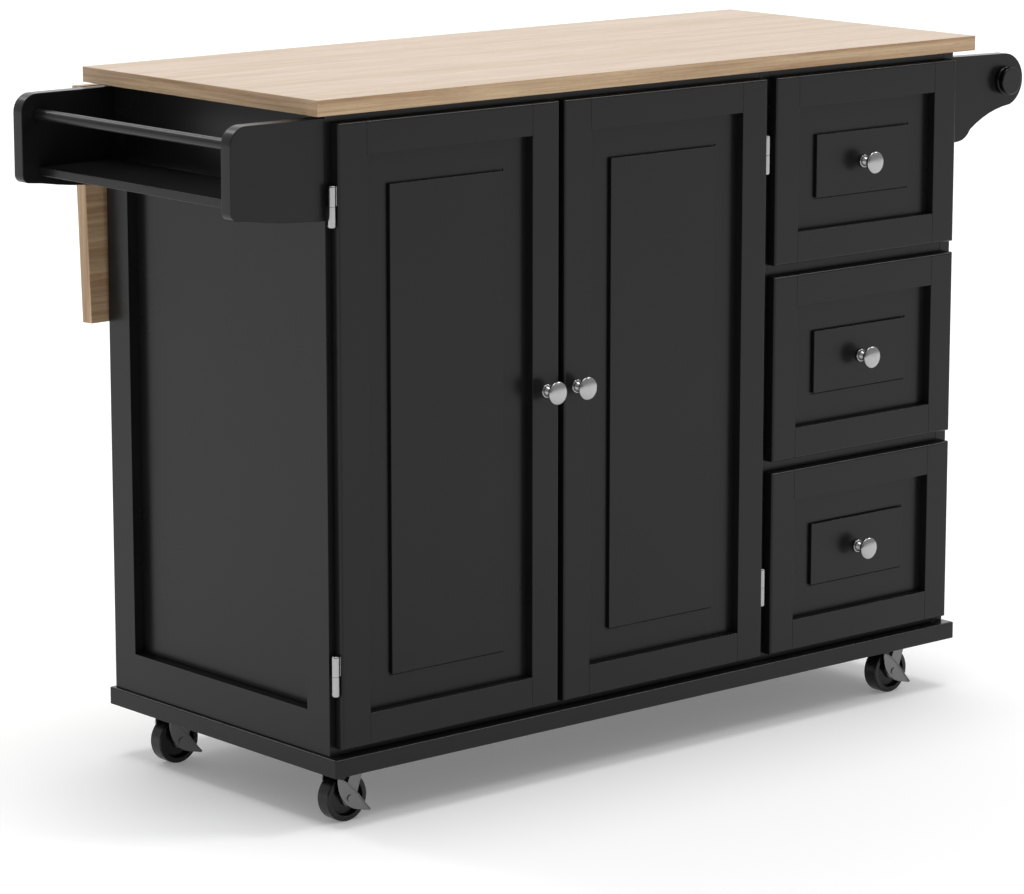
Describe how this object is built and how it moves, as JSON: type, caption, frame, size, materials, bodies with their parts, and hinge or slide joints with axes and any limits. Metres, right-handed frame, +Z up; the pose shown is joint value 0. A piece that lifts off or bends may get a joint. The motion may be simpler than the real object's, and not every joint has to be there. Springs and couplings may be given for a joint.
{
  "type": "drop leaf kitchen island",
  "caption": "Rolling kitchen island with an oak-look top, a fold-up back leaf, panelled doors, drawers, a spice rack with towel bar and a paper towel holder.",
  "frame": {"origin": "On the floor, under the middle of the whole outline with the leaf down and all closed", "axes": "+X to the right along the front, +Y from the front to the back, +Z up"},
  "size_m": [1.3775, 0.5349, 0.915],
  "materials": {
    "oak": "matt oak-look board",
    "black_paint": "satin black painted board",
    "nickel": "satin nickel",
    "zinc": "zinc plated steel",
    "wheel": "moulded black nylon",
    "cap": "moulded black plastic"
  },
  "bodies": {
    "cabinet": {"worktop": "oak", "side_frame_left": "black_paint", "side_frame_right": "black_paint", "side_panels": "black_paint", "face_frame": "black_paint", "back_frame": "black_paint", "back_panel": "black_paint", "cabinet_floor": "black_paint", "base_board": "black_paint", "base_moulding": "black_paint", "divider": "black_paint", "cupboard_shelf": "black_paint", "shelf_pins": "zinc", "drawer_runners": "zinc", "door_hinge_plates": "nickel", "leaf_hinge_plates": "zinc", "prop_brackets": "zinc", "rack_brackets": "black_paint", "rack_shelf": "black_paint", "towel_bar": "black_paint", "holder_front_arm": "black_paint", "holder_back_arm": "black_paint", "caster_plates": "zinc"},
    "door_left": {"door_frame_left": "black_paint", "door_panel_left": "black_paint", "door_knob_left": "nickel", "door_hinges_left": "nickel"},
    "door_right": {"door_frame_right": "black_paint", "door_panel_right": "black_paint", "door_knob_right": "nickel", "door_hinges_right": "nickel"},
    "drawer_lower": {"drawer_front_lower": "black_paint", "drawer_box_lower": "black_paint", "drawer_knob_lower": "nickel"},
    "drawer_middle": {"drawer_front_middle": "black_paint", "drawer_box_middle": "black_paint", "drawer_knob_middle": "nickel"},
    "drawer_upper": {"drawer_front_upper": "black_paint", "drawer_box_upper": "black_paint", "drawer_knob_upper": "nickel"},
    "leaf": {"drop_leaf": "oak", "leaf_hinges": "zinc", "leaf_stops": "zinc"},
    "prop_left": {"prop_left": "zinc"},
    "prop_right": {"prop_right": "zinc"},
    "towel_rod": {"towel_rod": "cap"},
    "fork_front_left": {"fork_front_left": "zinc"},
    "wheel_front_left": {"wheel_front_left": "wheel"},
    "brake_front_left": {"brake_front_left": "zinc"},
    "fork_front_right": {"fork_front_right": "zinc"},
    "wheel_front_right": {"wheel_front_right": "wheel"},
    "brake_front_right": {"brake_front_right": "zinc"},
    "fork_back_left": {"fork_back_left": "zinc"},
    "wheel_back_left": {"wheel_back_left": "wheel"},
    "brake_back_left": {"brake_back_left": "zinc"},
    "fork_back_right": {"fork_back_right": "zinc"},
    "wheel_back_right": {"wheel_back_right": "wheel"},
    "brake_back_right": {"brake_back_right": "zinc"}
  },
  "joints": [
    {"name": "door_left_hinge", "type": "hinge", "parent": "cabinet", "child": "door_left", "pos_m": [-0.54275, -0.23444, 0.4903], "axis": [0, 0, -1], "range_deg": [0, 110]},
    {"name": "door_right_hinge", "type": "hinge", "parent": "cabinet", "child": "door_right", "pos_m": [0.18625, -0.23444, 0.4903], "axis": [0, 0, 1], "range_deg": [0, 90]},
    {"name": "drawer_lower_slide", "type": "slide", "parent": "cabinet", "child": "drawer_lower", "axis": [0, -1, 0], "range_m": [0, 0.28]},
    {"name": "drawer_middle_slide", "type": "slide", "parent": "cabinet", "child": "drawer_middle", "axis": [0, -1, 0], "range_m": [0, 0.28]},
    {"name": "drawer_upper_slide", "type": "slide", "parent": "cabinet", "child": "drawer_upper", "axis": [0, -1, 0], "range_m": [0, 0.28]},
    {"name": "leaf_hinge", "type": "hinge", "parent": "cabinet", "child": "leaf", "pos_m": [0.00075, 0.24406, 0.8915], "axis": [1, 0, 0], "range_deg": [0, 92.55]},
    {"name": "prop_left_hinge", "type": "hinge", "parent": "cabinet", "child": "prop_left", "pos_m": [-0.31925, 0.22596, 0.77103], "axis": [1, 0, 0], "range_deg": [0, 135.01]},
    {"name": "prop_right_hinge", "type": "hinge", "parent": "cabinet", "child": "prop_right", "pos_m": [0.32075, 0.22596, 0.77103], "axis": [1, 0, 0], "range_deg": [0, 135.01]},
    {"name": "towel_rod_slide", "type": "slide", "parent": "cabinet", "child": "towel_rod", "axis": [0, -1, 0], "range_m": [0, 0.32]},
    {"name": "swivel_front_left", "type": "hinge", "parent": "cabinet", "child": "fork_front_left", "pos_m": [-0.48455, -0.20034, 0.07], "axis": [0, 0, 1], "continuous": true},
    {"name": "spin_front_left", "type": "hinge", "parent": "fork_front_left", "child": "wheel_front_left", "pos_m": [-0.50785, -0.20034, 0.03125], "axis": [0, 1, 0], "continuous": true},
    {"name": "brake_front_left_pedal", "type": "hinge", "parent": "fork_front_left", "child": "brake_front_left", "pos_m": [-0.50785, -0.20034, 0.03125], "axis": [0, -1, 0], "range_deg": [0, 18]},
    {"name": "swivel_front_right", "type": "hinge", "parent": "cabinet", "child": "fork_front_right", "pos_m": [0.48605, -0.20034, 0.07], "axis": [0, 0, 1], "continuous": true},
    {"name": "spin_front_right", "type": "hinge", "parent": "fork_front_right", "child": "wheel_front_right", "pos_m": [0.46275, -0.20034, 0.03125], "axis": [0, 1, 0], "continuous": true},
    {"name": "brake_front_right_pedal", "type": "hinge", "parent": "fork_front_right", "child": "brake_front_right", "pos_m": [0.46275, -0.20034, 0.03125], "axis": [0, -1, 0], "range_deg": [0, 18]},
    {"name": "swivel_back_left", "type": "hinge", "parent": "cabinet", "child": "fork_back_left", "pos_m": [-0.48455, 0.15426, 0.07], "axis": [0, 0, 1], "continuous": true},
    {"name": "spin_back_left", "type": "hinge", "parent": "fork_back_left", "child": "wheel_back_left", "pos_m": [-0.50785, 0.15426, 0.03125], "axis": [0, 1, 0], "continuous": true},
    {"name": "brake_back_left_pedal", "type": "hinge", "parent": "fork_back_left", "child": "brake_back_left", "pos_m": [-0.50785, 0.15426, 0.03125], "axis": [0, -1, 0], "range_deg": [0, 18]},
    {"name": "swivel_back_right", "type": "hinge", "parent": "cabinet", "child": "fork_back_right", "pos_m": [0.48605, 0.15426, 0.07], "axis": [0, 0, 1], "continuous": true},
    {"name": "spin_back_right", "type": "hinge", "parent": "fork_back_right", "child": "wheel_back_right", "pos_m": [0.46275, 0.15426, 0.03125], "axis": [0, 1, 0], "continuous": true},
    {"name": "brake_back_right_pedal", "type": "hinge", "parent": "fork_back_right", "child": "brake_back_right", "pos_m": [0.46275, 0.15426, 0.03125], "axis": [0, -1, 0], "range_deg": [0, 18]}
  ],
  "couplings": [
    {"joint": "prop_left_hinge", "follows": "leaf_hinge", "ratio": 1.4587},
    {"joint": "prop_right_hinge", "follows": "leaf_hinge", "ratio": 1.4587}
  ]
}
